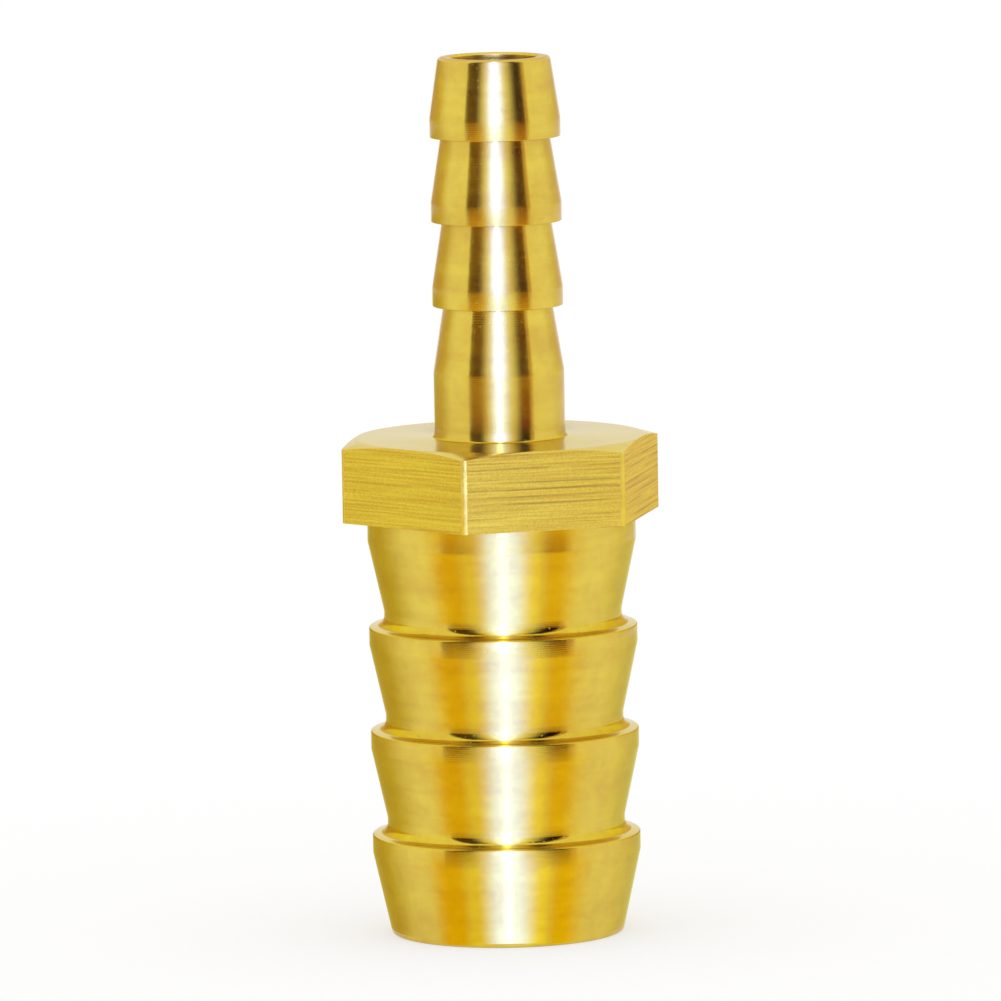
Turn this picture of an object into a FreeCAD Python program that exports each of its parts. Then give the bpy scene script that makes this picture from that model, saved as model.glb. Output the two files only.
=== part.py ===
import FreeCAD, Part
import os
import Sketcher

# A brass hose barb reducer, turned from hexagon bar. It stands on the end face of its large tail.
# The Z axis is the axis of turning, and Z = 0 is that end face. All sizes are in millimetres and degrees.

SIZES = {
    # the hexagon for the spanner
    "hex_across_flats": 15.0,
    "hex_height": 4.15,
    "hex_corner_radius": 0.4,
    "hex_corner_drop": 0.33,
    "hex_face_angle": 16.0,
    # the large tail, below the hexagon
    "large_barb_count": 3,
    "large_barb_dia": 14.0,
    "large_barb_height": 0.8,
    "large_barb_pitch": 5.45,
    "large_land": 0.95,
    "large_back": 0.12,
    "large_neck": 0.73,
    "large_nose": 4.3,
    "large_nose_drop": 0.95,
    "large_collar": 1.25,
    # the small tail and its shank, above the hexagon
    "small_barb_count": 3,
    "small_barb_dia": 6.8,
    "small_barb_height": 0.55,
    "small_barb_pitch": 4.4,
    "small_land": 1.0,
    "small_nose": 3.15,
    "small_nose_drop": 0.475,
    "shank_length": 3.45,
    "shank_fillet": 0.35,
    # the bores: the walls left at the necks, and the metal left over the large bore's flat depth
    "large_wall": 1.45,
    "small_wall": 0.65,
    "bore_web": 3.05,
    "drill_point_angle": 118.0,
    # the broken edges
    "outer_edge_break": 0.15,
    "bore_edge_break": 0.2,
}

# Heights above the end face, each the one below it and the length between
FIRST_NECK = "(sizes.large_nose + sizes.large_land + sizes.large_back)"
LAST_NECK = f"({FIRST_NECK} + (sizes.large_barb_count - 1) * sizes.large_barb_pitch)"
COLLAR = f"({LAST_NECK} + sizes.large_barb_pitch - sizes.large_land - sizes.large_back)"
HEX_BOTTOM = f"({COLLAR} + sizes.large_collar)"
HEX_TOP = f"({HEX_BOTTOM} + sizes.hex_height)"
SHANK_TOP = f"({HEX_TOP} + sizes.shank_length)"
FIRST_SHOULDER = f"({SHANK_TOP} + sizes.small_barb_pitch - sizes.small_land)"
LAST_SHOULDER = f"({FIRST_SHOULDER} + (sizes.small_barb_count - 1) * sizes.small_barb_pitch)"
TIP = f"({LAST_SHOULDER} + sizes.small_land + sizes.small_nose)"
BORE_DEPTH = f"({HEX_TOP} - sizes.bore_web)"

# Radii, each tail's from its crests inwards
LARGE_CREST = "sizes.large_barb_dia / 2"
LARGE_ROOT = f"({LARGE_CREST} - sizes.large_barb_height)"
LARGE_END = f"({LARGE_CREST} - sizes.large_nose_drop)"
LARGE_BORE = f"({LARGE_ROOT} - sizes.large_wall)"
SMALL_CREST = "sizes.small_barb_dia / 2"
SMALL_ROOT = f"({SMALL_CREST} - sizes.small_barb_height)"
SMALL_END = f"({SMALL_CREST} - sizes.small_nose_drop)"
SMALL_BORE = f"({SMALL_ROOT} - sizes.small_wall)"
HEX_CORNER = "(sizes.hex_across_flats / sqrt(3))"
HEX_FACE = f"({HEX_CORNER} - sizes.hex_corner_drop / tan(sizes.hex_face_angle * 1 deg))"

AXIS = "0"   # a corner that lies on the axis of turning
BASE = "0"   # a corner at the height of the end face
NEAR = 1e-4  # how close two lengths are when they count as the same


def add_sheet(doc):
    sheet = doc.addObject("Spreadsheet::Sheet", "sizes")
    for row, (name, value) in enumerate(SIZES.items(), start=1):
        sheet.set(f"A{row}", name)
        sheet.set(f"B{row}", str(value))
        sheet.setAlias(f"B{row}", name)
    doc.recompute()


def value_of(item, expression):
    value = item.evalExpression(expression)
    return getattr(value, "Value", value)


def origin_part(body, role):
    return next(part for part in body.Origin.OriginFeatures if part.Role == role)


def add_sketch(body, name, plane, height=None):
    """A sketch on one of the body's own planes, lifted to a height where one is given."""
    sketch = body.newObject("Sketcher::SketchObject", name)
    sketch.AttachmentSupport = [(origin_part(body, plane), "")]
    sketch.MapMode = "FlatFace"
    if height:
        sketch.setExpression("AttachmentOffset.Base.z", height)
    return sketch


def bind(sketch, kind, point, value, expression):
    """Ties a point's distance from the sketch's origin to an expression."""
    number = sketch.addConstraint(Sketcher.Constraint(kind, -1, 1, point, 1, value))
    sketch.setExpression(f"Constraints[{number}]", expression)


def close_outline(sketch, points):
    """Straight edges from point to point and back to the first."""
    count = len(points)
    for i in range(count):
        sketch.addGeometry(Part.LineSegment(points[i], points[(i + 1) % count]), False)
    for i in range(count):
        sketch.addConstraint(Sketcher.Constraint("Coincident", i, 2, (i + 1) % count, 1))


def draw_section(sketch, corners):
    """A closed half section, each corner a radius and a height given as expressions."""
    points = [FreeCAD.Vector(value_of(sketch, radius), value_of(sketch, height), 0) for radius, height in corners]
    close_outline(sketch, points)
    for i, (radius, height) in enumerate(corners):
        last_radius, last_height = corners[i - 1] if i else (None, None)
        if radius == AXIS:
            sketch.addConstraint(Sketcher.Constraint("PointOnObject", i, 1, -2))
        elif radius == last_radius:
            sketch.addConstraint(Sketcher.Constraint("Vertical", i - 1))
        else:
            bind(sketch, "DistanceX", i, points[i].x, radius)
        if height == last_height:
            sketch.addConstraint(Sketcher.Constraint("Horizontal", i - 1))
        elif height == BASE:
            sketch.addConstraint(Sketcher.Constraint("PointOnObject", i, 1, -1))
        else:
            bind(sketch, "DistanceY", i, points[i].y, height)


def turn(body, kind, name, corners):
    """A half section turned about the Z axis, added as a Revolution or cut as a Groove."""
    sketch = add_sketch(body, f"{name}_section", "XZ_Plane")
    draw_section(sketch, corners)
    feature = body.newObject(f"PartDesign::{kind}", name)
    feature.Profile = sketch
    feature.ReferenceAxis = (sketch, ["V_Axis"])
    feature.Angle = 360
    return feature


def repeat_up(body, name, original, count, pitch):
    """Copies of a feature along the Z axis, the original counted."""
    pattern = body.newObject("PartDesign::LinearPattern", name)
    pattern.Originals = [original]
    pattern.Direction = (origin_part(body, "Z_Axis"), [""])
    pattern.Mode = "Spacing"
    pattern.setExpression("Occurrences", count)
    pattern.setExpression("Offset", pitch)
    body.Tip = pattern


def dress(doc, body, kind, name, size_name, size, test):
    """A Fillet or Chamfer on those edges of the body so far that pass the test."""
    doc.recompute()
    base = body.Tip
    edges = [f"Edge{i}" for i, edge in enumerate(base.Shape.Edges, start=1) if test(edge)]
    feature = body.newObject(f"PartDesign::{kind}", name)
    feature.Base = (base, edges)
    feature.setExpression(size_name, size)


def is_upright(edge):
    box = edge.BoundBox
    return box.ZLength > NEAR and box.XLength < NEAR and box.YLength < NEAR


def circle_test(body, *circles):
    """A test for edges that are one of these circles, each a radius and a height given as expressions."""
    wanted = [(value_of(body, radius), value_of(body, height)) for radius, height in circles]

    def is_wanted(edge):
        curve = edge.Curve
        if not isinstance(curve, Part.Circle):
            return False
        return any(abs(curve.Radius - r) < NEAR and abs(curve.Center.z - z) < NEAR for r, z in wanted)

    return is_wanted


def add_hexagon(doc, body):
    """The milled hexagon: flats face +X and -X, corners lie on the Y axis."""
    sketch = add_sketch(body, "hexagon_outline", "XY_Plane", HEX_BOTTOM)
    corner = FreeCAD.Vector(value_of(sketch, HEX_CORNER), 0, 0)
    upwards = FreeCAD.Vector(0, 0, 1)
    close_outline(sketch, [FreeCAD.Rotation(upwards, 30 + 60 * i).multVec(corner) for i in range(6)])
    ring = sketch.addGeometry(Part.Circle(FreeCAD.Vector(), upwards, corner.x), True)
    sketch.addConstraint(Sketcher.Constraint("Coincident", ring, 3, -1, 1))
    for i in range(6):
        sketch.addConstraint(Sketcher.Constraint("PointOnObject", i, 1, ring))
        if i:
            sketch.addConstraint(Sketcher.Constraint("Equal", 0, i))
    sketch.addConstraint(Sketcher.Constraint("Vertical", 5))
    bind(sketch, "DistanceX", 0, value_of(sketch, "sizes.hex_across_flats / 2"), "sizes.hex_across_flats / 2")
    pad = body.newObject("PartDesign::Pad", "hexagon")
    pad.Profile = sketch
    pad.setExpression("Length", "sizes.hex_height")
    dress(doc, body, "Fillet", "hexagon_corners", "Radius", "sizes.hex_corner_radius", is_upright)
    # the shallow cone that the lathe leaves on the corners of the upper face
    turn(body, "Groove", "hexagon_face", [
        (HEX_FACE, HEX_TOP),
        (HEX_CORNER, HEX_TOP),
        (HEX_CORNER, f"{HEX_TOP} - sizes.hex_corner_drop")])


def add_large_tail(body):
    """Barbs that point down, each a taper, a land and a nearly square back, and a last taper up to the hexagon."""
    turn(body, "Revolution", "large_nose", [
        (AXIS, BASE),
        (LARGE_END, BASE),
        (LARGE_CREST, "sizes.large_nose"),
        (LARGE_CREST, f"{FIRST_NECK} - sizes.large_back"),
        (LARGE_ROOT, FIRST_NECK),
        (AXIS, FIRST_NECK)])
    next_neck = f"{FIRST_NECK} + sizes.large_barb_pitch"
    barb = turn(body, "Revolution", "large_barb", [
        (AXIS, FIRST_NECK),
        (LARGE_ROOT, FIRST_NECK),
        (LARGE_ROOT, f"{FIRST_NECK} + sizes.large_neck"),
        (LARGE_CREST, f"{next_neck} - sizes.large_back - sizes.large_land"),
        (LARGE_CREST, f"{next_neck} - sizes.large_back"),
        (LARGE_ROOT, next_neck),
        (AXIS, next_neck)])
    repeat_up(body, "large_barbs", barb, "sizes.large_barb_count - 1", "sizes.large_barb_pitch")
    turn(body, "Revolution", "large_collar", [
        (AXIS, LAST_NECK),
        (LARGE_ROOT, LAST_NECK),
        (LARGE_ROOT, f"{LAST_NECK} + sizes.large_neck"),
        (LARGE_CREST, COLLAR),
        (LARGE_CREST, HEX_BOTTOM),
        (AXIS, HEX_BOTTOM)])


def add_small_tail(doc, body):
    """The plain shank, as thick as the crests, and barbs that point up, each a shoulder, a land and a taper."""
    turn(body, "Revolution", "shank", [
        (AXIS, HEX_TOP),
        (SMALL_CREST, HEX_TOP),
        (SMALL_CREST, SHANK_TOP),
        (SMALL_ROOT, FIRST_SHOULDER),
        (AXIS, FIRST_SHOULDER)])
    shank_root = circle_test(body, (SMALL_CREST, HEX_TOP))
    dress(doc, body, "Fillet", "shank_root", "Radius", "sizes.shank_fillet", shank_root)
    next_shoulder = f"{FIRST_SHOULDER} + sizes.small_barb_pitch"
    barb = turn(body, "Revolution", "small_barb", [
        (AXIS, FIRST_SHOULDER),
        (SMALL_CREST, FIRST_SHOULDER),
        (SMALL_CREST, f"{FIRST_SHOULDER} + sizes.small_land"),
        (SMALL_ROOT, next_shoulder),
        (AXIS, next_shoulder)])
    repeat_up(body, "small_barbs", barb, "sizes.small_barb_count - 1", "sizes.small_barb_pitch")
    turn(body, "Revolution", "small_nose", [
        (AXIS, LAST_SHOULDER),
        (SMALL_CREST, LAST_SHOULDER),
        (SMALL_CREST, f"{LAST_SHOULDER} + sizes.small_land"),
        (SMALL_END, TIP),
        (AXIS, TIP)])


def add_bore(body):
    """The large bore, the cone that its drill leaves, and the small bore from there to the tip."""
    cone_top = f"{BORE_DEPTH} + ({LARGE_BORE} - {SMALL_BORE}) / tan(sizes.drill_point_angle * 1 deg / 2)"
    turn(body, "Groove", "bore", [
        (AXIS, BASE),
        (LARGE_BORE, BASE),
        (LARGE_BORE, BORE_DEPTH),
        (SMALL_BORE, cone_top),
        (SMALL_BORE, TIP),
        (AXIS, TIP)])


def break_edges(doc, body):
    outer = circle_test(body, (LARGE_END, BASE), (SMALL_END, TIP))
    dress(doc, body, "Chamfer", "outer_edges", "Size", "sizes.outer_edge_break", outer)
    inner = circle_test(body, (LARGE_BORE, BASE), (SMALL_BORE, TIP))
    dress(doc, body, "Chamfer", "bore_edges", "Size", "sizes.bore_edge_break", inner)


def check(doc, body):
    for item in doc.Objects:
        if "Invalid" in item.State or "Error" in item.State:
            raise RuntimeError(f"{item.Name} failed: {item.State}")
    shape = body.Shape
    if shape.isNull() or not shape.isValid() or len(shape.Solids) != 1:
        raise RuntimeError(f"{body.Label} is not one valid solid")


def main():
    doc = FreeCAD.newDocument("hose_barb_reducer")
    add_sheet(doc)
    body = doc.addObject("PartDesign::Body", "ReducerBody")
    body.Label = "reducer_body"
    add_hexagon(doc, body)
    add_large_tail(body)
    add_small_tail(doc, body)
    add_bore(body)
    break_edges(doc, body)
    doc.recompute()
    check(doc, body)
    os.makedirs("parts", exist_ok=True)
    body.Shape.exportStep(os.path.join("parts", f"{body.Label}.step"))
    box = body.Shape.optimalBoundingBox()
    print(f"{body.Label}: {box.XLength:.2f} x {box.YLength:.2f} x {box.ZLength:.2f} mm, {body.Shape.Volume:.1f} mm3")


main()
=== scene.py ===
import math

import bmesh
import bpy
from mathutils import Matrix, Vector


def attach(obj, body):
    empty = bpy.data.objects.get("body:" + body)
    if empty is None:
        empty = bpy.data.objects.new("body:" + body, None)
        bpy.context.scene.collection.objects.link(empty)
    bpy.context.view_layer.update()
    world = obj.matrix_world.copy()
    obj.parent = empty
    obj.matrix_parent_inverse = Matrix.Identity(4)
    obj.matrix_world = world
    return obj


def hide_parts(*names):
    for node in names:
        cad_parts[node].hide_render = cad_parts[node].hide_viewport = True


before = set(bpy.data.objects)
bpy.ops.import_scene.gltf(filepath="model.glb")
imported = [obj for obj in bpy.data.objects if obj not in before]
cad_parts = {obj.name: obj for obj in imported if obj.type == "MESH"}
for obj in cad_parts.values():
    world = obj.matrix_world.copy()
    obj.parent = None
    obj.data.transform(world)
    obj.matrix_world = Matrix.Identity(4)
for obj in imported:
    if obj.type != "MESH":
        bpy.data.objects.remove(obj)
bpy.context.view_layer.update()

mm = 0.001
scene = bpy.context.scene

# The fitting, in millimetres and degrees. It stands on its large end, and Z is the axis it was turned about.
reducer = {
    "steps": 288,             # faces round the axis, a multiple of 12 so that the flats come out even
    "acrossFlats": 15.0,
    "hexHeight": 4.15,
    "hexCornerRadius": 0.4,
    "hexCornerCuts": 5,       # narrow flats that round one upright corner
    "hexCornerDrop": 0.33,
    "hexFaceAngle": 16.0,
    "stockRadius": 9.2,       # the round that the six flats are cut from
    "largeBarbs": 3,
    "largeCrest": 7.0,
    "largeBarbHeight": 0.8,
    "largePitch": 5.45,
    "largeLand": 0.95,
    "largeBack": 0.12,
    "largeNeck": 0.73,
    "largeNose": 4.3,
    "largeNoseDrop": 0.95,
    "largeCollar": 1.25,
    "smallBarbs": 3,
    "smallCrest": 3.4,
    "smallBarbHeight": 0.55,
    "smallPitch": 4.4,
    "smallLand": 1.0,
    "smallNose": 3.15,
    "smallNoseDrop": 0.475,
    "shankLength": 3.45,
    "shankFillet": 0.1,
    "shankFlare": 0.06,       # how much the shank widens above its fillet, and over what height
    "shankFlareHeight": 0.42,
    "shankFlareRound": 0.12,
    "largeWall": 1.45,
    "smallWall": 0.65,
    "boreWeb": 3.05,
    "drillAngle": 118.0,
    "outerBreak": 0.15,
    "boreBreak": 0.14,
    "crisp": 0.04,            # how far a tool-sharp edge is worn back
    "soft": 0.08,             # the same where a form tool leaves a softer corner
    "burr": 0.08,             # along the top and bottom of the flats
    "rim": 0.07,              # and on the rims of the large barbs
    "neckRound": 0.45,        # the hollow that the form tool leaves behind each large barb
    "weld": 0.0005,           # corners closer than this become one
    "sliver": 0.002,          # and so do those of the slivers that milling leaves
}
# the finishes, in the order of the fitting's materials
finish = {name: i for i, name in enumerate(("turned", "milled", "faced", "drilled", "formed", "rubbedWithHighlight"))}


# corners of the half section, each a radius, a height and how far the corner is worn back
def outline(s):
    crisp, soft = s["crisp"], s["soft"]
    crest = s["largeCrest"]
    root = crest - s["largeBarbHeight"]
    largeBore = root - s["largeWall"]
    corners = [(largeBore, 0, s["boreBreak"]), (crest - s["largeNoseDrop"], 0, s["outerBreak"])]
    z = s["largeNose"]
    for barb in range(s["largeBarbs"]):
        top = z + s["largeLand"]
        neck = top + s["largeBack"]
        corners += [(crest, z, soft), (crest, top, s["rim"]), (root, neck, s["neckRound"]),
                    (root, neck + s["largeNeck"], soft)]
        z += s["largePitch"]
    hexBottom = z + s["largeCollar"]
    hexTop = hexBottom + s["hexHeight"]
    corners += [(crest, z, soft), (crest, hexBottom, crisp)]
    # the round stock, with the shallow cone on its upper edge
    slope = math.tan(math.radians(s["hexFaceAngle"]))
    sharpCorner = s["acrossFlats"] / math.sqrt(3)
    face = sharpCorner - s["hexCornerDrop"] / slope
    stock = s["stockRadius"]
    corners += [(stock, hexBottom, 0), (stock, hexTop - (stock - face) * slope, 0), (face, hexTop, soft)]
    # the shank and the small barbs
    crest = s["smallCrest"]
    root = crest - s["smallBarbHeight"]
    smallBore = root - s["smallWall"]
    z = hexTop + s["shankLength"]
    corners += [(crest + s["shankFlare"], hexTop, s["shankFillet"]),
                (crest, hexTop + s["shankFlareHeight"], s["shankFlareRound"]), (crest, z, soft)]
    z += s["smallPitch"] - s["smallLand"]
    for barb in range(s["smallBarbs"]):
        corners += [(root, z, crisp), (crest, z, crisp), (crest, z + s["smallLand"], soft)]
        z += s["smallPitch"]
    tip = z - s["smallPitch"] + s["smallLand"] + s["smallNose"]
    corners += [(crest - s["smallNoseDrop"], tip, s["outerBreak"]), (smallBore, tip, s["boreBreak"])]
    # down the small bore, the drill's cone and the large bore
    boreTop = hexTop - s["boreWeb"]
    cone = (largeBore - smallBore) / math.tan(math.radians(s["drillAngle"] / 2))
    corners += [(smallBore, boreTop + cone, crisp), (largeBore, boreTop, crisp)]
    return corners, hexBottom, hexTop


# draws the half section, wears its corners back and spins it about Z
def turnedShape(bm, s):
    corners, hexBottom, hexTop = outline(s)
    verts = [bm.verts.new((r, 0, z)) for r, z, worn in corners]
    for i, vert in enumerate(verts):
        bm.edges.new((vert, verts[(i + 1) % len(verts)]))
    for vert, (r, z, worn) in zip(verts, corners):
        if worn:
            bmesh.ops.bevel(bm, geom=[vert], offset=worn, offset_type="OFFSET", affect="VERTICES",
                            segments=12 if worn == s["neckRound"] else 4, profile=0.5, material=-1)
    bmesh.ops.spin(bm, geom=bm.verts[:] + bm.edges[:], cent=(0, 0, 0), axis=(0, 0, 1), dvec=(0, 0, 0),
                   angle=2 * math.pi, steps=s["steps"], use_merge=True)
    bmesh.ops.remove_doubles(bm, verts=bm.verts, dist=s["weld"])
    bmesh.ops.recalc_face_normals(bm, faces=bm.faces)
    return hexBottom, hexTop


# cuts away what lies past an upright plane and closes the cut
def millFlat(bm, angle, distance):
    normal = Vector((math.cos(angle), math.sin(angle), 0))
    cut = bmesh.ops.bisect_plane(bm, geom=bm.verts[:] + bm.edges[:] + bm.faces[:], dist=1e-5,
                                 plane_co=normal * distance, plane_no=normal, clear_outer=True)
    rim = [e for e in cut["geom_cut"] if isinstance(e, bmesh.types.BMEdge) and e.is_boundary]
    bmesh.ops.holes_fill(bm, edges=rim, sides=0)


# six flats, and between each two the narrow ones that round the upright corner
def millHexagon(bm, s):
    apothem = s["acrossFlats"] / 2
    radius = s["hexCornerRadius"]
    centre = (apothem - radius) / math.cos(math.pi / 6)
    for side in range(6):
        millFlat(bm, side * math.pi / 3, apothem)
    for side in range(6):
        for cut in range(s["hexCornerCuts"]):
            turn = math.pi / 3 * ((cut + 1) / (s["hexCornerCuts"] + 1) - 0.5)
            millFlat(bm, side * math.pi / 3 + math.pi / 6 + turn, centre * math.cos(turn) + radius)
    bmesh.ops.remove_doubles(bm, verts=bm.verts, dist=s["sliver"])
    bmesh.ops.dissolve_degenerate(bm, edges=bm.edges, dist=s["sliver"])


# takes the knife edge off the rims of the flats, and returns the faces that this makes
def wearHexagon(bm, s):
    edges = []
    inside = s["acrossFlats"] / 2 - 0.05   # mm, a hair inside the flats
    for e in bm.edges:
        if len(e.link_faces) != 2 or min(v.co.xy.length for v in e.verts) < inside:
            continue
        flats = [abs(f.normal.z) < 0.1 for f in e.link_faces]   # upright faces
        if flats[0] != flats[1]:
            edges.append(e)
    worn = bmesh.ops.bevel(bm, geom=edges, offset=s["burr"], offset_type="OFFSET", affect="EDGES",
                           segments=2, profile=0.5, material=-1, clamp_overlap=True)
    return set(worn["faces"])


def makeReducer(s):
    bm = bmesh.new()
    hexBottom, hexTop = turnedShape(bm, s)
    millHexagon(bm, s)
    worn = wearHexagon(bm, s)
    bmesh.ops.recalc_face_normals(bm, faces=bm.faces)
    loose = [e for e in bm.edges if not e.is_manifold]
    print("reducer mesh:", len(bm.faces), "faces,", len(loose), "open edges")
    # which finish each face has
    flat = s["acrossFlats"] / 2
    shank = s["smallCrest"]
    bore = s["largeCrest"] - s["largeBarbHeight"] - s["largeWall"]
    mouth = s["smallCrest"] - s["smallBarbHeight"] - s["smallWall"]
    near = 0.01               # mm
    shankMiddle = hexTop + 1  # between the level faces of the hexagon and those of the small tail
    flatArea = 5              # mm2, between that of a flat and that of a rounded corner's faces
    for f in bm.faces:
        centre = f.calc_center_median()
        radius = centre.xy.length
        outwards = f.normal.xy.dot(centre.xy) > -0.02 * radius
        level = abs(f.normal.z) > 0.9
        kind = "turned"
        if f in worn:
            kind = "rubbedWithHighlight"
        elif not outwards and radius < (bore if centre.z < hexTop else mouth) + near:
            kind = "drilled"
        elif radius > flat - near and abs(f.normal.z) < 0.5 and hexBottom < centre.z < hexTop:
            kind = "milled" if f.calc_area() > flatArea else "rubbedWithHighlight"
        elif centre.z > shankMiddle and radius < mouth + s["boreBreak"]:
            kind = "rubbedWithHighlight"
        elif level:
            kind = "faced" if centre.z < shankMiddle else "formed"
        elif centre.z < hexBottom and f.normal.z > 0.1:
            kind = "formed"
        elif hexTop - near < centre.z < hexTop + s["shankFillet"] and radius > shank + 0.05:
            kind = "formed"
        f.material_index = finish[kind]
        f.smooth = True
    bmesh.ops.scale(bm, vec=(mm * 0.9999,) * 3, verts=bm.verts)   # a hair inside the solid's own box
    mesh = bpy.data.meshes.new("fitting")
    bm.to_mesh(mesh)
    bm.free()
    fitting = bpy.data.objects.new("fitting", mesh)
    scene.collection.objects.link(fitting)
    even = fitting.modifiers.new("even normals", "WEIGHTED_NORMAL")
    even.weight = 100
    return fitting


# an sRGB hex value as linear RGBA
def linearColour(text):
    parts = [int(text[i:i + 2], 16) / 255 for i in (1, 3, 5)]
    return tuple(c / 12.92 if c <= 0.04045 else ((c + 0.055) / 1.055) ** 2.4 for c in parts) + (1.0,)


# settings name a node's properties or sockets, links give a socket what feeds it
def addNode(tree, kind, settings=None, links=None):
    node = tree.nodes.new(kind)
    for name, value in (settings or {}).items():
        if isinstance(name, str) and hasattr(node, name):
            setattr(node, name, value)
        else:
            node.inputs[name].default_value = value
    for name, output in (links or {}).items():
        tree.links.new(output, node.inputs[name])
    return node


def newMaterial(name):
    material = bpy.data.materials.new(name)
    material.use_nodes = True
    tree = material.node_tree
    tree.nodes.clear()
    place = addNode(tree, "ShaderNodeTexCoord").outputs["Object"]
    return material, tree, place


# Free-machining brass rod turned on a lathe. The tool's feed leaves fine rings round the axis, so a
# reflection stays sharp round the axis but is drawn out up and down into tall bands, and a thin lacquer adds
# a white glow beside the brightest of them.
turned = {
    "pale": "#e4c940",
    "dark": "#d6b336",
    "edge": "#dfc24c",        # what the metal turns to where it is seen nearly edge on
    "roughness": 0.2,
    "roughnessSpread": 0.03,  # either side of it, in patches
    "anisotropic": 1.0,
    "ringPitch": 0.11,        # mm between tool rings, coarser than life so that they show
    "ringDepth": 0.0012,      # mm, where they are deepest
    "drift": (130, 130, 900),  # patches to the metre, where the rings come and go
    "comb": (0.7, 0.7, 0.11),  # mm, short scratches along the rings, coarser than life
    "combDepth": 0.004,       # mm
    "blotch": 1.1,            # mm, uneven patches
    "speck": 0.1,             # mm, small dints
    "speckDepth": 0.004,      # mm
    "lacquer": 0.9,
    "lacquerRoughness": 0.2,
}


def turnedBrass(s):
    material, tree, place = newMaterial("turned brass")
    flat = addNode(tree, "ShaderNodeMapping", {"Scale": (1, 1, 0)}, {"Vector": place}).outputs[0]
    radius = addNode(tree, "ShaderNodeVectorMath", {"operation": "LENGTH"}, {0: flat}).outputs["Value"]
    height = addNode(tree, "ShaderNodeSeparateXYZ", {}, {0: place}).outputs["Z"]
    along = addNode(tree, "ShaderNodeMath", {"operation": "ADD"}, {0: radius, 1: height}).outputs[0]
    # the rings are even, but come and go in patches drawn out round the axis
    slow = addNode(tree, "ShaderNodeMapping", {"Scale": s["drift"]}, {"Vector": place}).outputs[0]
    slowNoise = addNode(tree, "ShaderNodeTexNoise", {"Scale": 1.0, "Detail": 3.0, "Roughness": 0.6},
                        {"Vector": slow}).outputs["Fac"]
    perMetre = 2 * math.pi / (s["ringPitch"] * mm)
    turns = addNode(tree, "ShaderNodeMath", {"operation": "MULTIPLY_ADD", 1: perMetre},
                    {0: along, 2: slowNoise})
    wave = addNode(tree, "ShaderNodeMath", {"operation": "SINE"}, {0: turns.outputs[0]})
    amount = addNode(tree, "ShaderNodeMapRange", {"From Min": 0.42, "From Max": 0.66}, {"Value": slowNoise})
    rings = addNode(tree, "ShaderNodeMath", {"operation": "MULTIPLY"},
                    {0: wave.outputs[0], 1: amount.outputs[0]})
    comb = addNode(tree, "ShaderNodeMapping", {"Scale": [1 / (c * mm) for c in s["comb"]]},
                   {"Vector": place})
    combNoise = addNode(tree, "ShaderNodeTexNoise", {"Scale": 1.0, "Detail": 2.0, "Roughness": 0.6},
                        {"Vector": comb.outputs[0]}).outputs["Fac"]
    patchNoise = addNode(tree, "ShaderNodeTexNoise", {"Scale": 1 / (s["blotch"] * mm), "Detail": 4.0,
                                                      "Roughness": 0.65}, {"Vector": place}).outputs["Fac"]
    speckNoise = addNode(tree, "ShaderNodeTexNoise", {"Scale": 1 / (s["speck"] * mm), "Detail": 1.0},
                         {"Vector": place}).outputs["Fac"]
    specks = addNode(tree, "ShaderNodeMapRange", {"From Min": 0.71, "From Max": 0.81}, {"Value": speckNoise})
    mixed = addNode(tree, "ShaderNodeMath", {"operation": "ADD"}, {0: slowNoise, 1: patchNoise})
    toneFac = addNode(tree, "ShaderNodeMapRange", {"From Min": 0.75, "From Max": 1.25},
                      {"Value": mixed.outputs[0]})
    tone = addNode(tree, "ShaderNodeMixRGB",
                   {"Color1": linearColour(s["dark"]), "Color2": linearColour(s["pale"])},
                   {"Fac": toneFac.outputs[0]})
    rough = addNode(tree, "ShaderNodeMapRange", {
        "From Min": 0.3, "From Max": 0.7, "To Min": s["roughness"] - s["roughnessSpread"],
        "To Max": s["roughness"] + s["roughnessSpread"]}, {"Value": patchNoise})
    ringBump = addNode(tree, "ShaderNodeBump", {"Strength": 1.0, "Distance": s["ringDepth"] * mm},
                       {"Height": rings.outputs[0]})
    combBump = addNode(tree, "ShaderNodeBump", {"Strength": 1.0, "Distance": s["combDepth"] * mm},
                       {"Height": combNoise, "Normal": ringBump.outputs[0]})
    speckBump = addNode(tree, "ShaderNodeBump", {"Strength": 1.0, "Distance": s["speckDepth"] * mm},
                        {"Height": specks.outputs[0], "Normal": combBump.outputs[0]})
    roundAxis = addNode(tree, "ShaderNodeVectorMath", {"operation": "CROSS_PRODUCT", 0: (0, 0, 1)},
                        {1: flat})
    shader = addNode(tree, "ShaderNodeBsdfPrincipled", {
        "Metallic": 1.0, "Anisotropic": s["anisotropic"], "Anisotropic Rotation": 0.25,
        "Specular Tint": linearColour(s["edge"]),
        "Coat Weight": s["lacquer"], "Coat Roughness": s["lacquerRoughness"]}, {
        "Base Color": tone.outputs[0], "Roughness": rough.outputs[0], "Normal": speckBump.outputs[0],
        "Tangent": roundAxis.outputs[0]})
    addNode(tree, "ShaderNodeOutputMaterial", {}, {"Surface": shader.outputs[0]})
    return material
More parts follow.
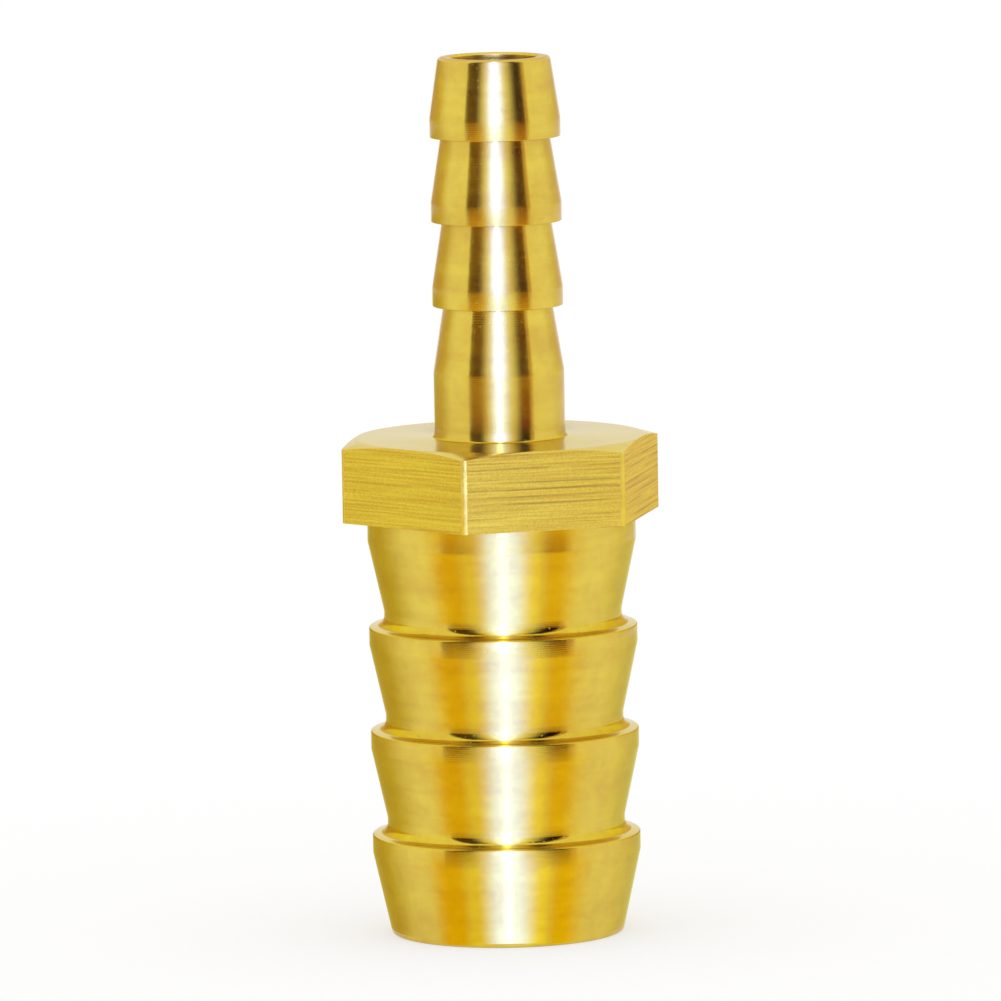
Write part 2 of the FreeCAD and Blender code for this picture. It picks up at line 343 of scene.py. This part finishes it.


# The flats of the same rod, milled square to the axis: straight rows of shallow cutter marks run along them,
# so they spread light widely and show broken dark rows and small scuffs in place of reflections. The flats
# turned away from one side carry painted shade.
milled = {
    "pale": "#f6dc3e",
    "dark": "#dcb22e",
    "row": "#8c6820",         # darker colour in the deepest rows
    "edge": "#e8cc70",
    "roughness": 0.48,
    "anisotropic": 0.3,
    "rowPitch": 0.36,         # mm between cutter rows, coarser than life so that they show
    "rowDepth": 0.006,        # mm
    "rowShift": 4.0,          # radians, how far a row strays from even spacing
    "rowDarkening": 0.5,             # how much of the row colour the deepest rows take
    "deepSide": -30.0,        # degrees from +X, the side where the rows are deepest; flats turned away from it get painted shade
    "shallow": 0.25,          # how deep the rows are on the other side
    "farSideShade": 0.88,              # and how bright the metal is there, as painted shade
    "breakLength": 4.5,       # mm, where the rows come and go
    "breakPitch": 0.3,        # mm
    "streakPitch": 0.1,       # mm, finer scratches between them
    "streakLength": 6.0,      # mm
    "grain": 0.11,            # mm, between the scratches
    "grainShare": 0.35,       # of the two together
    "depth": 0.004,           # mm, of the scratches and the grain
    "lacquer": 0.3,
    "lacquerRoughness": 0.25,
}


def milledBrass(s):
    material, tree, place = newMaterial("milled brass")

    def noise(length, pitch, detail):
        scale = (1 / (length * mm), 1 / (length * mm), 1 / (pitch * mm))
        drawn = addNode(tree, "ShaderNodeMapping", {"Scale": scale}, {"Vector": place}).outputs[0]
        return addNode(tree, "ShaderNodeTexNoise", {"Scale": 1.0, "Detail": detail, "Roughness": 0.6},
                       {"Vector": drawn}).outputs["Fac"]

    # the rows follow the height alone, unevenly spaced
    upright = addNode(tree, "ShaderNodeMapping", {"Scale": (0, 0, 1)}, {"Vector": place}).outputs[0]
    uneven = addNode(tree, "ShaderNodeTexNoise", {"Scale": 1 / (1.5 * s["rowPitch"] * mm), "Detail": 1.0},
                     {"Vector": upright}).outputs["Fac"]
    height = addNode(tree, "ShaderNodeSeparateXYZ", {}, {0: place}).outputs["Z"]
    shift = addNode(tree, "ShaderNodeMath", {"operation": "MULTIPLY", 1: s["rowShift"]},
                    {0: uneven}).outputs[0]
    perMetre = 2 * math.pi / (s["rowPitch"] * mm)
    turns = addNode(tree, "ShaderNodeMath", {"operation": "MULTIPLY_ADD", 1: perMetre},
                    {0: height, 2: shift}).outputs[0]
    wave = addNode(tree, "ShaderNodeMath", {"operation": "SINE"}, {0: turns}).outputs[0]
    line = addNode(tree, "ShaderNodeMapRange", {"From Min": 0.35, "From Max": 1.0},
                   {"Value": wave}).outputs[0]
    breaks = addNode(tree, "ShaderNodeMapRange", {"From Min": 0.42, "From Max": 0.62},
                     {"Value": noise(s["breakLength"], s["breakPitch"], 3.0)}).outputs[0]
    rows = addNode(tree, "ShaderNodeMath", {"operation": "MULTIPLY"}, {0: line, 1: breaks}).outputs[0]
    # the cutter bit deepest on the flats to one side, and the flats turned away from that side are painted
    # in shade
    normal = addNode(tree, "ShaderNodeNewGeometry").outputs["Normal"]
    turn = math.radians(s["deepSide"])
    side = addNode(tree, "ShaderNodeVectorMath",
                   {"operation": "DOT_PRODUCT", 1: (math.cos(turn), math.sin(turn), 0)},
                   {0: normal}).outputs["Value"]
    bite = addNode(tree, "ShaderNodeMapRange", {"From Min": 0.2, "From Max": 0.85, "To Min": s["shallow"]},
                   {"Value": side}).outputs[0]
    rows = addNode(tree, "ShaderNodeMath", {"operation": "MULTIPLY"}, {0: rows, 1: bite}).outputs[0]
    streaks = noise(s["streakLength"], s["streakPitch"], 2.0)
    grain = noise(s["grain"], s["grain"], 2.0)
    mixed = addNode(tree, "ShaderNodeMixRGB", {"Fac": s["grainShare"]}, {"Color1": streaks, "Color2": grain})
    toneFac = addNode(tree, "ShaderNodeMapRange", {"From Min": 0.36, "From Max": 0.62},
                      {"Value": mixed.outputs[0]})
    tone = addNode(tree, "ShaderNodeMixRGB",
                   {"Color1": linearColour(s["dark"]), "Color2": linearColour(s["pale"])},
                   {"Fac": toneFac.outputs[0]}).outputs[0]
    rowDarkening = addNode(tree, "ShaderNodeMath", {"operation": "MULTIPLY", 1: s["rowDarkening"]}, {0: rows}).outputs[0]
    tone = addNode(tree, "ShaderNodeMixRGB", {"Color2": linearColour(s["row"])},
                   {"Fac": rowDarkening, "Color1": tone})
    # painted shade: the flats turned away from the deep side are coloured darker
    shade = addNode(tree, "ShaderNodeMapRange", {"From Min": s["shallow"], "To Min": s["farSideShade"]},
                    {"Value": bite})
    tone = addNode(tree, "ShaderNodeVectorMath", {"operation": "SCALE"},
                   {0: tone.outputs[0], "Scale": shade.outputs[0]})
    rowBump = addNode(tree, "ShaderNodeBump", {"Strength": 1.0, "Distance": -s["rowDepth"] * mm},
                      {"Height": rows})
    bump = addNode(tree, "ShaderNodeBump", {"Strength": 1.0, "Distance": s["depth"] * mm},
                   {"Height": mixed.outputs[0], "Normal": rowBump.outputs[0]})
    along = addNode(tree, "ShaderNodeVectorMath", {"operation": "CROSS_PRODUCT", 0: (0, 0, 1)},
                    {1: normal})
    shader = addNode(tree, "ShaderNodeBsdfPrincipled", {
        "Metallic": 1.0, "Anisotropic": s["anisotropic"], "Anisotropic Rotation": 0.25,
        "Roughness": s["roughness"], "Specular Tint": linearColour(s["edge"]),
        "Coat Weight": s["lacquer"], "Coat Roughness": s["lacquerRoughness"]}, {
        "Base Color": tone.outputs[0], "Normal": bump.outputs[0], "Tangent": along.outputs[0]})
    addNode(tree, "ShaderNodeOutputMaterial", {}, {"Surface": shader.outputs[0]})
    return material


# The faces square to the axis are faced on the lathe, brighter and paler at a low angle; their paler colours
# are a painted sheen.
faced = dict(turned, pale="#ecd878", dark="#e2c860", edge="#e6dca8", anisotropic=0.4, ringPitch=0.16,
             lacquer=0.5)

# The hollows behind the large barbs, the foot of the shank and the end of the small tail are cut by a form
# tool, which burnishes the same brass and chatters, so they shine in short uneven glints.
formed = dict(turned, edge="#dcbe4c", roughness=0.13, anisotropic=0.35, ringDepth=0.0006, speck=0.16,
              speckDepth=0.012, lacquer=0.15)

# The corners and rims of the hexagon and the lip of the small bore are the same brass, rubbed dull by
# handling, so they catch the light as broad pale lines; their paler colour is partly that wear and partly a
# painted highlight.
rubbedWithHighlight = dict(turned, pale="#f4dc50", dark="#e6c53c", roughness=0.48, anisotropic=0.0, ringDepth=0.0004,
              comb=(0.22, 0.22, 0.22), combDepth=0.04, speck=0.15, lacquer=0.2, lacquerRoughness=0.4)

# The bores are drilled in the same brass, duller, with coarser rings, and coloured darker as painted shade
# inside the bores.
drilled = dict(turned, pale="#e4be42", dark="#b48428", edge="#d0a040", roughness=0.4, anisotropic=0.6,
               ringPitch=0.2, ringDepth=0.006, comb=(0.3, 0.3, 0.2), combDepth=0.03, lacquer=0.0)

# The studio: a pale floor that runs out to white under soft white light from all round. Metal has only its
# surroundings to show, so a tall strip light stands over the camera, dark flags beside it, gold reflectors
# low down and dimmer cards behind.
studio = {
    "azimuth": 12.73,         # degrees, the camera's, 0 looks along +Y
    "distance": 0.58,         # m, from the camera to the fitting's axis
    "height": 0.09284,
    "pitch": 6.901,
    "roll": 0.96,
    "aside": -0.000033,       # m, sideways
    "focal": 403.3,           # mm
    "sensor": 36.0,           # mm
    "world": 1.0,
    "floor": "#b8b8b8",
    "floorRadius": 3.0,       # m
    "cardLift": 0.0001,       # m, the reflectors' height over the floor
    "cardStep": 0.00002,      # m, each reflector over the one before
}

# Upright cards: left and right edge as azimuths from the camera's direction, how many degrees each edge
# takes to fade out, distance, bottom, top, colour and level. The light is cool, because brass turns it white
# again.
cards = {
    "core": (-4.5, 4.5, 1, 1, 0.335, -0.02, 2.4, "#6878ff", 27.0),
    "strip": (-20, 22, 14, 16, 0.34, -0.02, 2.4, "#5f6fff", 12.5),
    "ember": (56, 64, 1, 4, 0.345, -0.02, 0.75, "#c48c14", 1.0),
    "flagLeft": (-55.5, -17, 2, 19, 0.36, -0.02, 0.75, "#544003", 1.0),
    "flagRight": (18, 57, 26, 2, 0.36, -0.02, 0.75, "#1e1002", 1.0),
    "backLeft": (-175, -92, 20, 30, 0.5, -0.02, 0.12, "#d8c48c", 1.0),
    "backRight": (100, 165, 30, 20, 0.5, -0.02, 0.08, "#e6e0c8", 1.0),
}
# Reflectors lying on the floor: azimuths of the edges, their fade, near and far end, colour and level
reflectors = {
    "goldLeft": (-78, -21, 20, 24, 0.0, 0.11, "#f9d600", 1.0),
    "goldRight": (26, 84, 22, 30, 0.0, 0.11, "#ffe000", 1.0),
    "warmLeft": (-44, -14, 14, 4, 0.0, 0.11, "#f3ea70", 1.15),
    "warmRight": (14, 43, 4, 14, 0.0, 0.11, "#fffb6e", 1.18),
    "rustLeft": (-54, -14, 6, 12, 0.11, 0.355, "#e3a640", 1.0),
    "rustRight": (26, 62, 16, 6, 0.11, 0.355, "#c36c28", 1.0),
    "glow": (-28, 31, 24, 24, 0.0, 0.11, "#6778ff", 9.4),
    "glowFar": (-17, 19, 12, 14, 0.11, 0.355, "#7f92ff", 6.0),
    "glowCore": (-5, 6.5, 4, 5, 0.0, 0.11, "#6878ff", 12.5),
    "dimLeft": (-178, -86, 12, 50, 0.0, 0.33, "#d2c85a", 1.0),
    "dimRight": (100, 176, 50, 12, 0.0, 0.15, "#e7ed9c", 1.0),
}


# a place at an azimuth from the camera's direction, in degrees, clockwise seen from above
def around(azimuth, distance, height):
    a = math.radians(studio["azimuth"] + azimuth)
    return Vector((math.sin(a) * distance, -math.cos(a) * distance, height))


def makeCamera(s):
    a = math.radians(s["azimuth"])
    pitch = math.radians(s["pitch"])
    roll = math.radians(s["roll"])
    forward = Vector((-math.sin(a) * math.cos(pitch), math.cos(a) * math.cos(pitch), -math.sin(pitch)))
    right = Vector((math.cos(a), math.sin(a), 0))
    down = forward.cross(right)
    right, down = (right * math.cos(roll) + down * math.sin(roll),
                   down * math.cos(roll) - right * math.sin(roll))
    data = bpy.data.cameras.new("camera")
    data.lens = s["focal"]
    data.sensor_width = s["sensor"]
    data.clip_start = 0.01
    camera = bpy.data.objects.new("camera", data)
    scene.collection.objects.link(camera)
    turn = camera.matrix_world.to_3x3()
    for i, axis in enumerate((right, -down, -forward)):
        turn.col[i] = axis
    camera.matrix_world = turn.to_4x4()
    camera.location = around(0, s["distance"], s["height"]) + right * s["aside"]
    scene.camera = camera


# eases a fade in and out
def smooth(x):
    x = min(max(x, 0.0), 1.0)
    return x * x * (3 - 2 * x)


# one card, seen by reflections only, from narrow columns of faces whose outer ones fade out
def addCard(name, edges, place, colour, level):
    left, right, fadeLeft, fadeRight = edges
    columns = math.ceil((right - left) / 2)
    bm = bmesh.new()
    cover = bm.verts.layers.float.new("cover")
    bmesh.ops.create_grid(bm, x_segments=columns, y_segments=1, size=1)
    for v in bm.verts:
        azimuth = left + (right - left) * (v.co.x + 1) / 2
        start = smooth((azimuth - left) / fadeLeft) if fadeLeft else 1.0
        end = smooth((right - azimuth) / fadeRight) if fadeRight else 1.0
        v[cover] = start * end
        v.co = place(azimuth, v.co.y > 0)
    mesh = bpy.data.meshes.new(name)
    bm.to_mesh(mesh)
    bm.free()
    card = bpy.data.objects.new(name, mesh)
    scene.collection.objects.link(card)
    material, tree, _ = newMaterial(name)
    glow = addNode(tree, "ShaderNodeEmission", {"Color": linearColour(colour), "Strength": level})
    clear = addNode(tree, "ShaderNodeBsdfTransparent")
    amount = addNode(tree, "ShaderNodeAttribute", {"attribute_name": "cover"}).outputs["Fac"]
    both = addNode(tree, "ShaderNodeMixShader", {}, {0: amount, 1: clear.outputs[0], 2: glow.outputs[0]})
    addNode(tree, "ShaderNodeOutputMaterial", {}, {"Surface": both.outputs[0]})
    mesh.materials.append(material)
    for ray in ("camera", "diffuse", "shadow", "transmission"):
        setattr(card, f"visible_{ray}", False)


def makeStudio(s):
    world = bpy.data.worlds.new("studio")
    world.use_nodes = True
    world.node_tree.nodes["Background"].inputs["Color"].default_value = (1, 1, 1, 1)
    world.node_tree.nodes["Background"].inputs["Strength"].default_value = s["world"]
    scene.world = world
    bm = bmesh.new()
    bmesh.ops.create_circle(bm, cap_ends=True, segments=96, radius=s["floorRadius"])
    mesh = bpy.data.meshes.new("floor")
    bm.to_mesh(mesh)
    bm.free()
    floor = bpy.data.objects.new("floor", mesh)
    scene.collection.objects.link(floor)
    material, tree, _ = newMaterial("pale floor")
    shader = addNode(tree, "ShaderNodeBsdfDiffuse", {"Color": linearColour(s["floor"])})
    # what is missing to white is added for the eye and for reflections, and the shadow stays
    ray = addNode(tree, "ShaderNodeLightPath").outputs
    seen = addNode(tree, "ShaderNodeMath", {"operation": "MAXIMUM"},
                   {0: ray["Is Camera Ray"], 1: ray["Is Glossy Ray"]})
    seen = addNode(tree, "ShaderNodeMath", {"operation": "MAXIMUM"},
                   {0: seen.outputs[0], 1: ray["Is Transmission Ray"]})
    lift = addNode(tree, "ShaderNodeMath", {"operation": "MULTIPLY", 1: 1 - linearColour(s["floor"])[0]},
                   {0: seen.outputs[0]})
    glow = addNode(tree, "ShaderNodeEmission", {"Color": (1, 1, 1, 1)}, {"Strength": lift.outputs[0]})
    both = addNode(tree, "ShaderNodeAddShader", {}, {0: shader.outputs[0], 1: glow.outputs[0]})
    addNode(tree, "ShaderNodeOutputMaterial", {}, {"Surface": both.outputs[0]})
    mesh.materials.append(material)
    for name, (left, right, fadeLeft, fadeRight, distance, low, high, colour, level) in cards.items():
        addCard(name, (left, right, fadeLeft, fadeRight),
                lambda azimuth, far: around(azimuth, distance, high if far else low), colour, level)
    # the fitting's round side sees the floor from its own surface, at half the azimuth
    base = (reducer["largeCrest"] - reducer["largeNoseDrop"]) * mm
    layer = s["cardLift"]
    for name, (left, right, fadeLeft, fadeRight, near, farEnd, colour, level) in reflectors.items():
        layer += s["cardStep"]
        addCard(name, (left, right, fadeLeft, fadeRight),
                lambda azimuth, far: (around(azimuth / 2, base, layer)
                                      + around(azimuth, farEnd if far else near, 0)),
                colour, level)


fitting = makeReducer(reducer)
for material in (turnedBrass(turned), milledBrass(milled), turnedBrass(faced), turnedBrass(drilled),
                 turnedBrass(formed), turnedBrass(rubbedWithHighlight)):
    fitting.data.materials.append(material)
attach(fitting, "root")
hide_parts("reducer_body")
print("fitting made")

makeCamera(studio)
makeStudio(studio)
scene.view_settings.view_transform = "Standard"
print("studio made")
